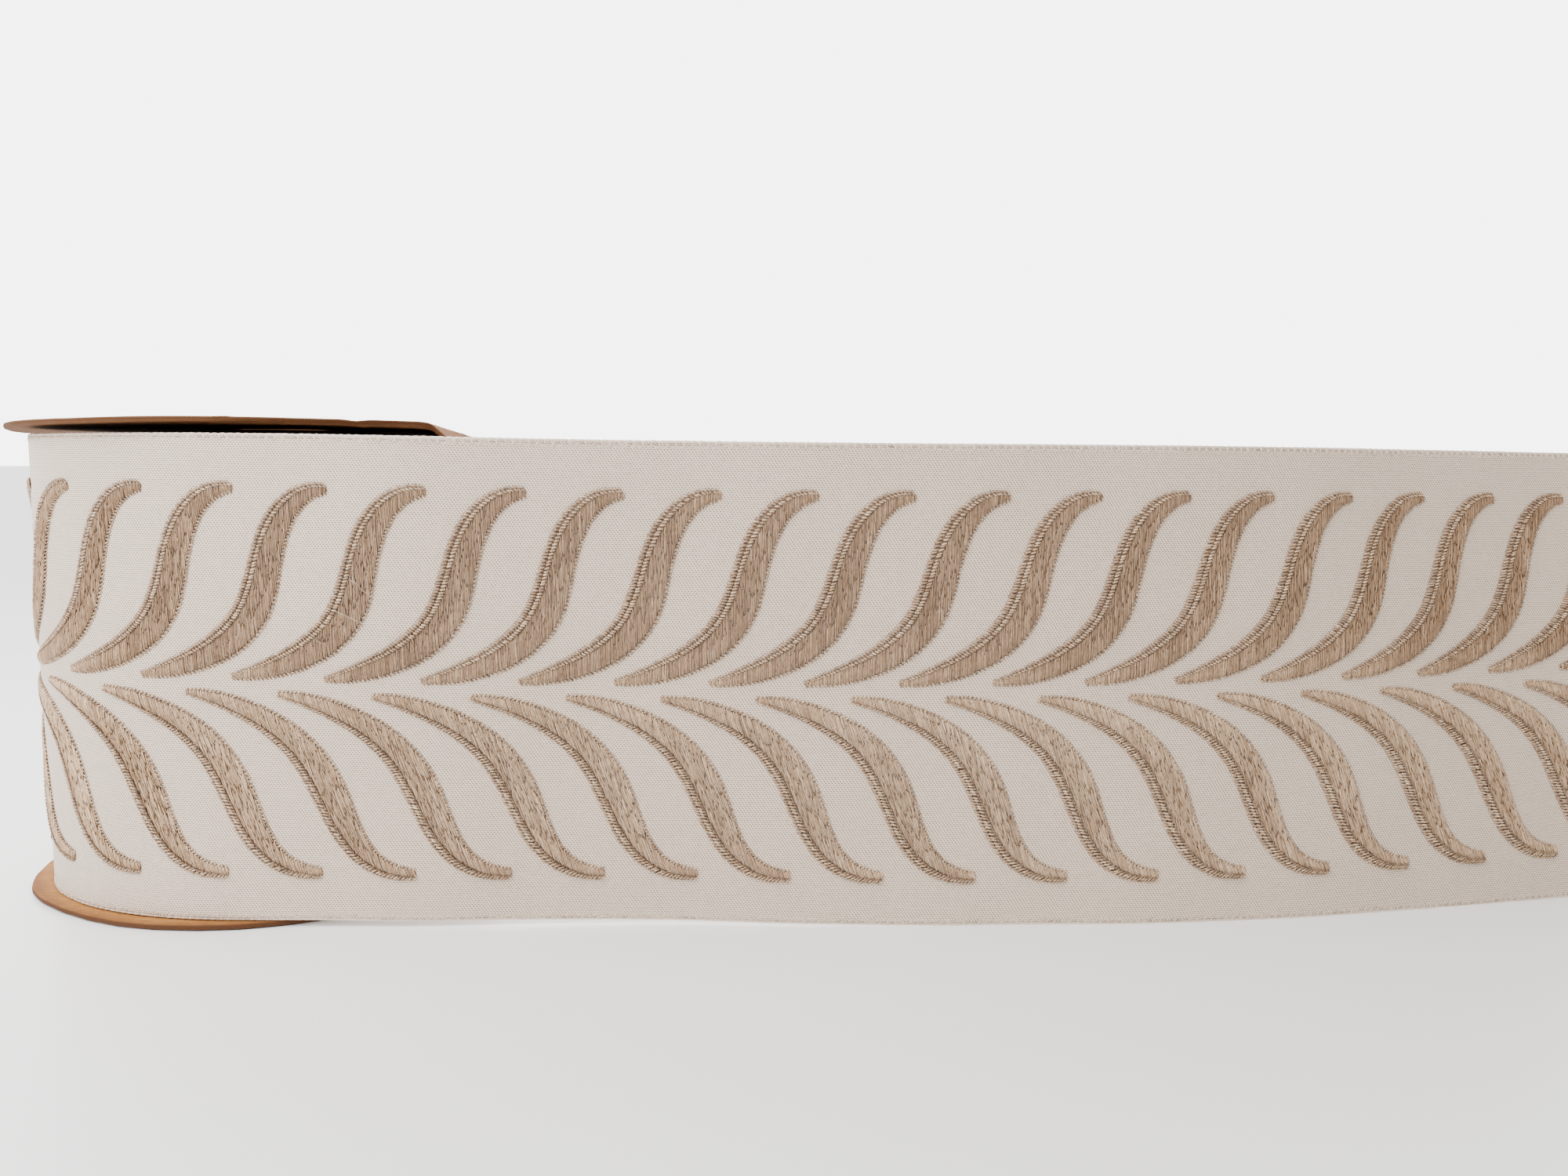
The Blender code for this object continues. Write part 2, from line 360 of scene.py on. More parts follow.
def satin_material(name):
    """Off-white satin whose floats leave staggered rows of small dots."""
    n = Nodes(name)
    flat = n.add("ShaderNodeAttribute", attribute_name="flat").outputs["Vector"]
    s, v, _ = n.add("ShaderNodeSeparateXYZ", {0: flat}).outputs
    object_space = n.add("ShaderNodeTexCoord").outputs["Object"]
    wander = n.math("MULTIPLY", n.math("SUBTRACT", n.noise(75, object_space, detail=1.0), 0.5), 1.6)
    row = n.math("ADD", n.math("DIVIDE", v, WEAVE_UP), wander)
    along = n.math("ADD", n.math("DIVIDE", s, WEAVE_ALONG), n.math("MULTIPLY", row, 0.4))
    beside = n.math("SUBTRACT", n.math("FRACT", along), 0.5)
    above = n.math("SUBTRACT", n.math("FRACT", row), 0.5)
    slanted = n.math("SUBTRACT", beside, n.math("MULTIPLY", above, 0.4))
    sheared = n.math("MULTIPLY", slanted, 0.62)
    tall = n.math("MULTIPLY", above, 0.55)
    far = n.math("SQRT", n.math("ADD", n.math("MULTIPLY", sheared, sheared),
                                n.math("MULTIPLY", tall, tall)))
    dot = n.math("SUBTRACT", 1.0, n.math("DIVIDE", far, 0.27), clamp=True)
    uneven = n.noise(900, object_space)
    broad = n.noise(28, object_space, detail=4.0)
    light = rgb(240, 218, 197)
    shade = rgb(110, 88, 70)
    depth = n.math("ADD", 0.75, n.math("MULTIPLY", uneven, 1.1))
    color = n.mix(n.math("MULTIPLY", dot, depth, clamp=True), light, shade)
    color = n.mix(n.math("MULTIPLY", broad, 0.20), color, rgb(208, 190, 172))
    height = n.math("SUBTRACT", n.math("MULTIPLY", uneven, 0.35), dot)
    return n.use(Base_Color=color, Roughness=0.5, Sheen_Weight=0.15, Sheen_Roughness=0.4,
                 Specular_IOR_Level=0.35, Normal=n.bump(height, 0.00006, 0.8))


def thread_material(name, stops, roughness=0.42):
    """Lustrous thread shaded by the tone of each stitch and streaked along its strands."""
    n = Nodes(name)
    tone = n.add("ShaderNodeAttribute", attribute_name="tone").outputs["Fac"]
    object_space = n.add("ShaderNodeTexCoord").outputs["Object"]
    fine = n.noise(2600, object_space, detail=2.0)
    patch = n.noise(60, object_space, detail=3.0)
    mixed = n.math("ADD", tone, n.math("MULTIPLY", n.math("SUBTRACT", fine, 0.5), 0.18))
    mixed = n.math("ADD", mixed, n.math("MULTIPLY", n.math("SUBTRACT", patch, 0.5), 0.22))
    grain = n.add("ShaderNodeAttribute", attribute_name="grain").outputs["Vector"]
    strand = n.add("ShaderNodeMapping", {"Vector": grain, "Scale": (0.50, 4.8, 1.0)}).outputs[0]
    streak = n.noise(1.0, strand, detail=2.0)
    slit = n.ranged(n.noise(1.9, strand, detail=1.0), 0.56, 0.70, 0.0, 0.42)
    mixed = n.math("ADD", mixed, n.math("MULTIPLY", n.math("SUBTRACT", streak, 0.5), 0.55))
    mixed = n.math("SUBTRACT", mixed, slit)
    color = n.ramp(mixed, stops)
    return n.use(Base_Color=color, Roughness=roughness, Sheen_Weight=0.2, Sheen_Roughness=0.35,
                 Specular_IOR_Level=0.55, Normal=n.bump(fine, 0.00004, 0.6))


def card_material():
    """Brown kraft card with fibres and flecks; darker at its rim from wear and painted shade, painted
    shade below, its cut edge in dark layers that are partly painted shade.
    """
    n = Nodes("kraft_card")
    object_space = n.add("ShaderNodeTexCoord").outputs["Object"]
    stretch = {"Vector": object_space, "Scale": (0.35, 1.0, 1.0)}
    stretched = n.add("ShaderNodeMapping", stretch).outputs[0]
    fibre = n.noise(900, stretched, detail=6.0, roughness=0.65)
    cloud = n.noise(45, object_space, detail=5.0)
    fleck = n.noise(1500, object_space, detail=1.0)
    grain = n.math("ADD", n.math("MULTIPLY", fibre, 0.6), n.math("MULTIPLY", cloud, 0.4))
    color = n.ramp(grain, CARD_STOPS)
    flecks = n.math("GREATER_THAN", fleck, 0.69)
    color = n.mix(n.math("MULTIPLY", flecks, 0.5), color, rgb(104, 72, 44))
    _, _, height = n.add("ShaderNodeSeparateXYZ", {0: object_space}).outputs
    normal = n.add("ShaderNodeNewGeometry").outputs["True Normal"]
    _, _, up = n.add("ShaderNodeSeparateXYZ", {0: normal}).outputs
    edge = n.math("SUBTRACT", 1.5, n.math("MULTIPLY", n.math("ABSOLUTE", up), 1.8), clamp=True)
    # painted shade: faces turned downwards are darkened, most where they face straight down
    under = n.math("MULTIPLY", up, -0.75, clamp=True)
    spoke = n.vector("SUBTRACT", object_space, (AXIS[0] * MM, AXIS[1] * MM, 0.0))
    level_spoke = n.vector("MULTIPLY", spoke, (1.0, 1.0, 0.0))
    radius = n.vector("LENGTH", level_spoke, output="Value")
    # darker within 2.6 mm of the rim: partly rim wear, partly painted shade
    rim_wear_and_shade = n.ranged(radius, (FLANGE_RADIUS - 2.6) * MM, (FLANGE_RADIUS - 0.6) * MM, 0.0, 0.6)
    color = n.mix(rim_wear_and_shade, color, rgb(104, 62, 32))
    # the rim's side faces take a dark layered cut-edge colour: the layers are the card's own, the
    # darkness is partly painted shade
    layer = n.math("SINE", n.math("MULTIPLY", height, CARD_WAVES))
    layers = n.math("ADD", 0.5, n.math("MULTIPLY", layer, 0.5))
    cut_edge_and_shade = n.mix(layers, rgb(60, 34, 18), rgb(98, 60, 32))
    # painted shade on the card's undersides
    color = n.mix(under, color, rgb(74, 45, 24))
    color = n.mix(n.math("MULTIPLY", edge, 0.95), color, cut_edge_and_shade)
    rough = n.math("ADD", 0.72, n.math("MULTIPLY", fibre, 0.2))
    return n.use(Base_Color=color, Roughness=rough, Specular_IOR_Level=0.25,
                 Normal=n.bump(fibre, 0.00008, 0.7))


THREAD_STOPS = ((0.0, rgb(64, 41, 24)), (0.3, rgb(122, 91, 63)), (0.55, rgb(162, 128, 96)),
                (0.8, rgb(212, 178, 142)), (1.0, rgb(244, 218, 184)))
SELVEDGE_STOPS = ((0.0, rgb(150, 128, 110)), (0.5, rgb(226, 202, 180)), (1.0, rgb(240, 228, 214)))
CARD_STOPS = ((0.30, rgb(120, 76, 34)), (0.5, rgb(158, 107, 53)), (0.72, rgb(188, 140, 82)))
SATIN = satin_material("satin_ground")
THREAD = thread_material("tan_thread", THREAD_STOPS)
SELVEDGE = thread_material("selvedge_thread", SELVEDGE_STOPS, 0.55)
CARD = card_material()


# Stitches, each of a point, three rings of three and a point
GRAIN_POINTS = 11
GRAIN_ALONG = np.array([0.0, 0.14, 0.5, 0.86, 1.0])
GRAIN_WIDE = np.array([0.0, 0.8, 1.0, 0.8, 0.0])


def grain_faces(count):
    """Triangles of count stitches."""
    last = GRAIN_POINTS - 1
    one = []
    for side in range(3):
        beside = (side + 1) % 3
        one.append((0, 1 + beside, 1 + side))
        one.append((last, last - 3 + side, last - 3 + beside))
        for ring in (1, 4):
            one.append((ring + side, ring + beside, ring + 3 + beside))
            one.append((ring + side, ring + 3 + beside, ring + 3 + side))
    first_points = GRAIN_POINTS * np.arange(count)[:, None, None]
    return (np.array(one)[None] + first_points).reshape(-1, 3)


def grains(start, end, radius, height, tone, dip=0.12, bow=0.0, shade=1.0):
    """Points and tones of stitches from start to end, in flat coordinates, lying at a height.

    height is a function of s and v. The ends dip under the rest, bow lifts the middle, and shade
    is how much darker the ends and sides are than the crown: painted shade on the ends and sides,
    and a painted highlight on the crown.
    """
    start, end = np.asarray(start, float), np.asarray(end, float)
    count = len(start)
    radius = np.broadcast_to(radius, count)
    tone = np.broadcast_to(tone, count)
    along = end - start
    length = np.maximum(np.linalg.norm(along, axis=1), 1e-6)
    side = np.stack([-along[:, 1], along[:, 0]], -1) / length[:, None]
    verts, tones = [], []
    for t, wide in zip(GRAIN_ALONG, GRAIN_WIDE):
        middle = start + along * t
        high = height(middle[:, 0], middle[:, 1]) + bow * 4 * t * (1 - t)
        if wide == 0.0:
            verts.append(np.stack([middle[:, 0], middle[:, 1], high - dip], -1)[:, None])
            # painted shade on the dipping ends
            tones.append((tone - 0.22 * shade)[:, None])
            continue
        r = radius * wide
        ring = []
        for across, lift in ((-1, -0.15), (0, 0.9), (1, -0.15)):
            place = middle + side * (across * r)[:, None]
            ring.append(np.stack([place[:, 0], place[:, 1], high + lift * r], -1))
        verts.append(np.stack(ring, 1))
        # painted shade on the sides, painted highlight on the crown
        tones.append(np.repeat(tone[:, None], 3, 1) + shade * np.array([-0.12, 0.06, -0.12]))
    return np.concatenate(verts, 1), np.concatenate(tones, 1)


class Leaf:
    """One leaf of a row in flat coordinates, its root at zero: spine, edges and stitches."""

    def __init__(self, table, length, border_side, thread_angle):
        self.side = border_side
        self.angle = math.radians(thread_angle)
        self.t = np.linspace(0, 1, 241)
        heading = np.radians(eased(table, 1, self.t))
        step = length / (len(self.t) - 1)
        self.spine = np.stack([np.concatenate([[0], np.cumsum(np.cos(heading))[:-1]]) * step,
                               np.concatenate([[0], np.cumsum(np.sin(heading))[:-1]]) * step], -1)
        self.length = length
        self.left = np.stack([-np.sin(heading), np.cos(heading)], -1)
        self.width = eased(table, 2, self.t)
        self.border = eased(table, 3, self.t)
        self.fill = np.concatenate([
            self.at(self.t, self.side * (0.5 - self.border / self.width)),
            self.at(self.t, -self.side * (0.5 - 0.26 / self.width))[::-1]])

    def at(self, t, share):
        """Points at a share of the width to the left of the spine."""
        pick = np.interp(t, self.t, np.arange(len(self.t)))
        low = np.floor(pick).astype(int)
        high = np.minimum(low + 1, len(self.t) - 1)
        part = (pick - low)[:, None]
        spine = self.spine[low] * (1 - part) + self.spine[high] * part
        left = self.left[low] * (1 - part) + self.left[high] * part
        width = np.interp(t, self.t, self.width)
        return spine + left * (np.broadcast_to(share, t.shape) * width)[:, None]

    def local(self, s, v):
        """Share of the length, and of the width to the left, of flat points."""
        dx = s[:, None] - self.spine[None, :, 0]
        dy = v[:, None] - self.spine[None, :, 1]
        near = np.argmin(dx * dx + dy * dy, axis=1)
        pick = np.arange(len(s))
        left = dx[pick, near] * self.left[near, 0] + dy[pick, near] * self.left[near, 1]
        return self.t[near], left / self.width[near]

    def dome(self, s, v, low=0.0):
        """Height of the padding over flat points, rising from its sides and lower towards its ends."""
        t, share = self.local(s, v)
        edge = np.clip(1 - np.abs(share) * 2, 0, 1) * np.interp(t, self.t, self.width) / 2
        rise = 1 - np.exp(-edge / 0.55)
        ends = np.clip(np.minimum(t, 1 - t) / 0.06, 0, 1) ** 0.5
        return LEAF_HEIGHT * rise * (0.45 + 0.55 * ends) + low

    def lines(self, polygon, pitch, shift):
        """Where parallel threads of the leaf's angle enter and leave a polygon."""
        along = np.array([math.cos(self.angle), math.sin(self.angle)])
        across = np.array([-along[1], along[0]])
        q = polygon @ across
        p = polygon @ along
        q2, p2 = np.roll(q, -1), np.roll(p, -1)
        found = []
        first = math.ceil((q.min() - shift) / pitch)
        for k in range(first, int((q.max() - shift) / pitch) + 1):
            line = k * pitch + shift
            hit = (q - line) * (q2 - line) < 0
            if hit.sum() < 2:
                continue
            part = (line - q[hit]) / (q2[hit] - q[hit])
            cross = np.sort(p[hit] + part * (p2[hit] - p[hit]))
            for low, high in zip(cross[::2], cross[1::2]):
                if high - low > 0.5:
                    found.append((line, low, high))
        return np.array(found), along, across


def fill_stitches(leaf):
    """Long threads of the fill, broken into stitches of uneven length."""
    found, along, across = leaf.lines(leaf.fill, FILL_PITCH, rng.uniform(0, FILL_PITCH))
    start, end, tone, radius = [], [], [], []
    for line, low, high in found:
        at = low - rng.uniform(0.0, 0.25)
        shade = rng.normal(0.0, 0.045)
        while at < high:
            size = rng.uniform(3.2, 7.5)
            stop = min(at + size, high + rng.uniform(0.0, 0.25))
            if high - stop < 1.2:
                stop = high + rng.uniform(0.0, 0.25)
            wander = rng.normal(0, 0.05, 2)
            start.append(along * (at - 0.15) + across * (line + wander[0]))
            end.append(along * (stop + 0.15) + across * (line + wander[1]))
            tone.append(shade + rng.normal(0, 0.045))
            radius.append(rng.uniform(0.18, 0.23))
            at = stop
    return np.array(start), np.array(end), np.array(radius), np.array(tone)


def border_stitches(leaf):
    """Lines of short slanted stitches along the whipped border.

    The upper leaves have two pale lines. The lower ones have a third, narrow and dark beside the fill:
    painted shade of a groove.
    """
    rows = []
    count = int(leaf.length / BORDER_PITCH)
    lines = UPPER_BORDER if leaf.side > 0 else LOWER_BORDER
    for line, (outer, inner, shade) in enumerate(lines):
        t = (np.arange(count) + 0.5 * line) / count
        t = np.clip(t + rng.normal(0, 0.0012, count), 0.0, 1.0)
        width = np.interp(t, leaf.t, leaf.width)
        border = np.interp(t, leaf.t, leaf.border)
        slant = 0.55 * BORDER_PITCH / leaf.length
        far = leaf.at(np.clip(t - slant, 0, 1), leaf.side * (0.5 - border * (1 - outer) / width))
        near = leaf.at(np.clip(t + slant, 0, 1), leaf.side * (0.5 - border * (1 - inner) / width))
        wide = np.clip(0.12 + 0.07 * border, 0.14, 0.25)
        tone = shade + rng.normal(0, 0.07, count)
        rows.append((far, near, wide * rng.uniform(0.9, 1.1, count), tone))
    return rows


def edge_stitches(leaf):
    """Short stitches that close the fill along the edge away from the border."""
    count = int(leaf.length / EDGE_PITCH)
    t = (np.arange(count) + 0.5) / count
    width = np.interp(t, leaf.t, leaf.width)
    slant = 0.45 * EDGE_PITCH / leaf.length
    far = leaf.at(np.clip(t + slant, 0, 1), -leaf.side * (0.5 + 0.30 / width))
    near = leaf.at(np.clip(t - slant, 0, 1), -leaf.side * (0.5 - 0.42 / width))
    tone = 0.72 + rng.normal(0, 0.08, count)
    return far, near, rng.uniform(0.18, 0.22, count), tone


def leaf_padding(leaf, first=-math.inf, last=math.inf):
    """Closed lens-shaped padding under a leaf's stitches, where its spine lies from first to last."""
    t = leaf.t[::4]
    along = leaf.spine[::4, 0]
    t = t[(along > first + 1.5) & (along < last - 2.5)]
    shares = (-0.5, -0.3, 0.0, 0.3, 0.5)
    columns = []
    for share in shares:
        place = leaf.at(t, share * 0.97)
        high = leaf.dome(place[:, 0], place[:, 1], -0.14)
        if abs(share) == 0.5:
            high = np.full(len(t), -0.1)
        columns.append(np.stack([place[:, 0], place[:, 1], high], -1))
    under = leaf.at(t, 0.0)
    columns.append(np.stack([under[:, 0], under[:, 1], np.full(len(t), -0.25)], -1))
    points = np.stack(columns, 1)
    count = len(t)
    faces = [grid_faces(count, 6, wrap_columns=True)[:, ::-1]]
    faces.append(np.array([[0, 1, 2, 3, 4, 5]]))
    faces.append(np.array([[0, 5, 4, 3, 2, 1]]) + 6 * (count - 1))
    return points.reshape(-1, 3), faces


UPPER = Leaf(UPPER_LEAF, UPPER_LENGTH, 1.0, 90.0)
LOWER = Leaf(LOWER_LEAF, LOWER_LENGTH, -1.0, 108.0)


def stitch_leaf(leaf, root):
    """Flat points and tones of the stitches of a leaf placed at root, and their number."""
    parts = []
    start, end, radius, tone = fill_stitches(leaf)
    middle = (start + end) / 2
    t, share = leaf.local(middle[:, 0], middle[:, 1])
    toward_edge = -share * leaf.side
    # painted light: the fill is lighter towards its edge away from the border and near the root
    tone = tone + 0.53 + 0.14 * toward_edge + 0.18 * np.exp(-t / 0.16)
    # the lower leaves' fill is lighter overall, with painted shade darkening it near the root
    if leaf.side < 0:
        tone = tone + 0.17 - 0.20 * np.exp(-t / 0.10)
    parts.append(grains(start, end, radius, lambda s, v: leaf.dome(s, v, 0.02), tone, shade=0.45))
    for far, near, wide, shade in border_stitches(leaf):
        parts.append(grains(far, near, wide, lambda s, v: leaf.dome(s, v, 0.10), shade, 0.2, 0.12))
    far, near, wide, shade = edge_stitches(leaf)
    parts.append(grains(far, near, wide, lambda s, v: leaf.dome(s, v, 0.03), shade, 0.12, 0.05))
    points = np.concatenate([p for p, _ in parts]) + np.array([root[0], root[1], 0.0])
    tones = np.concatenate([q for _, q in parts])
    s = points[:, :, 0]
    kept = (s.max(1) < LOOSE_LENGTH - 0.2) & (s.min(1) > -LAST_TURN + 0.2)
    return points[kept].reshape(-1, 3), tones[kept].ravel(), int(kept.sum())


def leaf_rows():
    """Both rows of leaves as pieces of a dozen leaves each."""
    pieces = []
    rows = (("upper", UPPER, UPPER_ROOT, UPPER_REACH), ("lower", LOWER, LOWER_ROOT, LOWER_REACH))
    for row, leaf, root, reach in rows:
        first = math.ceil((-LAST_TURN - reach + 6.0 - root[0]) / PITCH)
        last = math.floor((LOOSE_LENGTH - 6.0 - root[0]) / PITCH)
        group = []
        for index in range(first, last + 1):
            group.append(root[0] + index * PITCH)
            if len(group) < GROUP_SIZE and index < last:
                continue
            points, tones, faces, base = [], [], [], 0
            for s in group:
                stitched, shade, count = stitch_leaf(leaf, (s, root[1]))
                points.append(stitched)
                tones.append(shade)
                faces.append(grain_faces(count) + base)
                base += len(stitched)
            quads, hexes = [], []
            for s in group:
                padding, padding_faces = leaf_padding(leaf, -LAST_TURN - s, LOOSE_LENGTH - s)
                points.append(padding + np.array([s, root[1], 0.0]))
                # painted shade: the padding is dark at its sides, where it shows as shadow between the
                # stitches, and lighter over its crown
                tones.append(np.tile([0.10, 0.42, 0.48, 0.42, 0.10, 0.30], len(padding) // 6))
                quads.append(padding_faces[0] + base)
                hexes.extend([padding_faces[1] + base, padding_faces[2] + base])
                base += len(padding)
            flat = np.concatenate(points)
            places = on_tape(flat[:, 0], flat[:, 1], flat[:, 2] + GROUND_FACE)
            turn = np.array([[math.cos(leaf.angle), -math.sin(leaf.angle)],
                             [math.sin(leaf.angle), math.cos(leaf.angle)]])
            strands = np.column_stack([flat[:, :2] @ turn, flat[:, 2]])
            number = math.ceil((index - first + 1) / GROUP_SIZE)
            all_faces = [np.concatenate(faces), np.concatenate(quads), np.concatenate(hexes)]
            pieces.append(mesh_piece(f"leaves_{row}_{number}", places, all_faces, THREAD,
                                     tone=np.concatenate(tones), grain=strands))
            group = []
    return pieces


# Tape
def ground_sheet():
    """The satin of the loose tape and of the last tight turn, a closed thin sheet."""
    s = np.arange(-LAST_TURN, LOOSE_LENGTH + 0.5, 1.5)
    s[-1] = LOOSE_LENGTH
    edge_v = np.array([0.0, 0.25, 0.9, 1.6, 2.4])
    v = np.concatenate([edge_v, np.linspace(5, 95, 19), TAPE_WIDTH - edge_v[::-1]])
    thick = np.clip(np.minimum(v, TAPE_WIDTH - v) / 0.6, 0.0, 1.0) ** 0.5
    middle = (GROUND_FACE + GROUND_BACK) / 2
    front = middle + (GROUND_FACE - middle) * (0.25 + 0.75 * thick)
    back = middle + (GROUND_BACK - middle) * (0.25 + 0.75 * thick)
    ring_v = np.concatenate([v, v[::-1]])
    ring_out = np.concatenate([front, back[::-1]])
    s_grid, v_grid = np.meshgrid(s, ring_v, indexing="ij")
    places = on_tape(s_grid, v_grid, np.broadcast_to(ring_out, s_grid.shape))
    rows, columns = s_grid.shape
    faces = [grid_faces(rows, columns, wrap_columns=True)[:, ::-1]]
    cap = np.array([[k, k + 1, columns - 2 - k, columns - 1 - k] for k in range(len(v) - 1)])
    faces.append(cap)
    faces.append(cap[:, ::-1] + (rows - 1) * columns)
    side = np.where(np.arange(columns) < len(v), 1.0, -1.0)
    flat = np.stack([s_grid, v_grid, np.broadcast_to(side, s_grid.shape)], -1).reshape(-1, 3)
    return mesh_piece("satin_tape", places.reshape(-1, 3), faces, SATIN, flat=flat)


def edge_cord(name, v_edge, sign):
    """Rounded outermost cord of a selvedge, nipped by the weft at each turn."""
    s = np.arange(-LAST_TURN, LOOSE_LENGTH, 0.5)
    around = np.radians(np.arange(0, 360, 60))
    nipped = 1 + 0.16 * np.cos(2 * math.pi * s / SELVEDGE_PITCH)
    radius = 0.30 * nipped + 0.02 * rng.normal(size=len(s))
    v = v_edge + sign * 0.12 + radius[:, None] * np.cos(around)[None]
    out = -0.02 + radius[:, None] * np.sin(around)[None] * 1.25
    places = on_tape(s[:, None], np.clip(v, 0.0, TAPE_WIDTH + 0.3), out).reshape(-1, 3)
    count = len(around)
    faces = [grid_faces(len(s), count, wrap_columns=True), np.arange(count)[None, ::-1],
             (np.arange(count) + (len(s) - 1) * count)[None]]
    tone = np.full(len(places), 0.62) + 0.06 * rng.normal(size=len(places))
    return mesh_piece(name, places, faces, SELVEDGE, tone=tone)


def edge_band(name, v_edge, sign):
    """Narrow tan band of stitches inside a selvedge's cord, with pale weft loops over it."""
    s = np.arange(-LAST_TURN + 1.0, LOOSE_LENGTH - 1.5, SELVEDGE_PITCH)
    count = len(s)
    jitter = rng.normal(0, 0.06, (4, count))
    low = v_edge + sign * 0.62
    high = v_edge + sign * 1.12
    parts = []

    def level(along, _):
        return np.full(len(along), GROUND_FACE - 0.08)

    for v, shift, tone in ((low, 0.0, 0.22), (high, 0.5, 0.42)):
        begin = np.stack([s + shift + jitter[0], np.full(count, v) + jitter[1] * 0.5], -1)
        end = begin + np.array([1.35, 0.0]) + jitter[2][:, None] * 0.5
        shade = tone + rng.normal(0, 0.08, count)
        parts.append(grains(begin, end, 0.19, level, shade, 0.10, 0.03, 0.5))
    begin = np.stack([s - 0.1, np.full(count, v_edge + sign * 0.02)], -1)
    end = np.stack([s + 0.15 + jitter[3], np.full(count, v_edge + sign * 1.55)], -1)
    shade = 0.64 + rng.normal(0, 0.06, count)
    parts.append(grains(begin, end, 0.13, level, shade, 0.1, 0.08, 0.5))
    points = np.concatenate([p.reshape(-1, 3) for p, _ in parts])
    tones = np.concatenate([q.ravel() for _, q in parts])
    places = on_tape(points[:, 0], points[:, 1], points[:, 2])
    faces = [grain_faces(len(points) // GRAIN_POINTS)]
    return mesh_piece(name, places, faces, SELVEDGE, tone=tones)


def reverse_motif():
    """Flat floats of thread on the back of the loose tape, behind each leaf."""
    points, quads, ends, base = [], [], [], 0
    for leaf, root in ((UPPER, UPPER_ROOT), (LOWER, LOWER_ROOT)):
        first = math.ceil((2.0 - root[0]) / PITCH)
        last = math.floor((LOOSE_LENGTH - 6.0 - root[0]) / PITCH)
        for index in range(first, last + 1):
            flat, faces = leaf_padding(leaf, last=LOOSE_LENGTH - root[0] - index * PITCH)
            flat[:, 2] = GROUND_BACK - 0.30 * np.clip(flat[:, 2], -0.1, 1.0)
            points.append(flat + np.array([root[0] + index * PITCH, root[1], 0.0]))
            quads.append(faces[0][:, ::-1] + base)
            ends.extend([faces[1][:, ::-1] + base, faces[2][:, ::-1] + base])
            base += len(flat)
    flat = np.concatenate(points)
    places = on_tape(flat[:, 0], flat[:, 1], flat[:, 2])
    tones = 0.5 + 0.25 * np.sin(flat[:, 0] * 17.0) * rng.uniform(0, 1, len(places))
    return mesh_piece("reverse_floats", places, [np.concatenate(quads), np.concatenate(ends)],
                      THREAD, tone=tones)


def wound_turns():
    """The tight turns of the roll as one spiral of tape from the hub to the last turn."""
    k = TURN_PITCH / (4 * math.pi)
    innermost = HUB_RADIUS + 0.3 + TURN_PITCH / 2
    turned = 2 * math.pi * (ROLL_MIDDLE - innermost) / TURN_PITCH
    total = ROLL_MIDDLE * turned - k * turned ** 2
    count = int(round(turned / (2 * math.pi) * TURN_STEPS))
    s = -np.linspace(total, LAST_TURN + 0.3, count)
    shape = ((0.0, -0.30), (0.0, 0.20), (0.4, 0.50), (99.6, 0.50), (100.0, 0.20), (100.0, -0.30),
             (99.6, -0.55), (0.4, -0.55))
    v = np.array([p[0] for p in shape])
    out = np.array([p[1] for p in shape])
    s_grid, v_grid = np.meshgrid(s, v, indexing="ij")
    uneven = np.sin(np.floor(-s_grid / 200.0) * 2.3 + s_grid / 90.0)
    v_grid = v_grid + 0.25 * uneven * (v_grid / TAPE_WIDTH)
    places = on_tape(s_grid, v_grid, np.broadcast_to(out, s_grid.shape)).reshape(-1, 3)
    faces = [grid_faces(count, len(v), wrap_columns=True)[:, ::-1]]
    faces.append(np.arange(len(v))[None])
    faces.append((np.arange(len(v)) + (count - 1) * len(v))[None, ::-1])
    flat = np.stack([s_grid, v_grid, np.ones(s_grid.shape)], -1).reshape(-1, 3)
    return mesh_piece("wound_turns", places, faces, SATIN, flat=flat)


def loose_fibres():
    """A few fine loose fibres caught on the leaves near the reel."""
    fibre_radius = 0.035
    strands = (
        ((113.0, 66.2), (116.0, 65.5), (119.0, 64.2), (121.5, 63.0)),
        ((109.5, 61.0), (111.0, 60.6), (112.0, 59.4), (113.0, 58.8)),
        ((120.0, 71.7), (120.6, 69.6), (120.2, 67.4), (120.8, 65.4)),
        ((118.8, 71.9), (120.5, 71.2), (121.6, 69.8), (122.8, 69.2)),
    )
    points, faces, base = [], [], 0
    around = np.radians([90, 210, 330])
    for strand in strands:
        control = np.array(strand)
        t = np.linspace(0, 1, 13)
        knots = np.linspace(0, 1, len(control))
        table = np.column_stack([knots, control])
        line = np.stack([eased(table, 1, t), eased(table, 2, t)], -1)
        lift = GROUND_FACE + 0.75 + 0.35 * np.sin(t * math.pi)
        ring = []
        for angle in around:
            beside = line[:, 1] + fibre_radius * math.sin(angle)
            above = lift + fibre_radius * math.cos(angle)
            ring.append(np.stack([line[:, 0], beside, above], -1))
        ring = np.stack(ring, 1)
        points.append(ring.reshape(-1, 3))
        faces.append(grid_faces(len(t), 3, wrap_columns=True) + base)
        faces.append(np.array([[0, 1, 2]]) + base)
        faces.append(np.array([[2, 1, 0]]) + base + 3 * (len(t) - 1))
        base += 3 * len(t)
    flat = np.concatenate(points)
    places = on_tape(flat[:, 0], flat[:, 1], flat[:, 2])
    return mesh_piece("loose_fibres", places, faces, SELVEDGE, tone=np.full(len(places), 0.8))


# Card reel
def card_rim(outer, low, high, under=0.25):
    """Profile points round a disc's rim, from its lower face to its upper face."""
    return [(outer - 1.6 * under, low), (outer - 0.5 * under, low + 0.4 * under), (outer, low + under),
            (outer + 0.05, (low + under + high) / 2), (outer, high - 0.2), (outer - 0.07, high - 0.06),
            (outer - 0.25, high)]


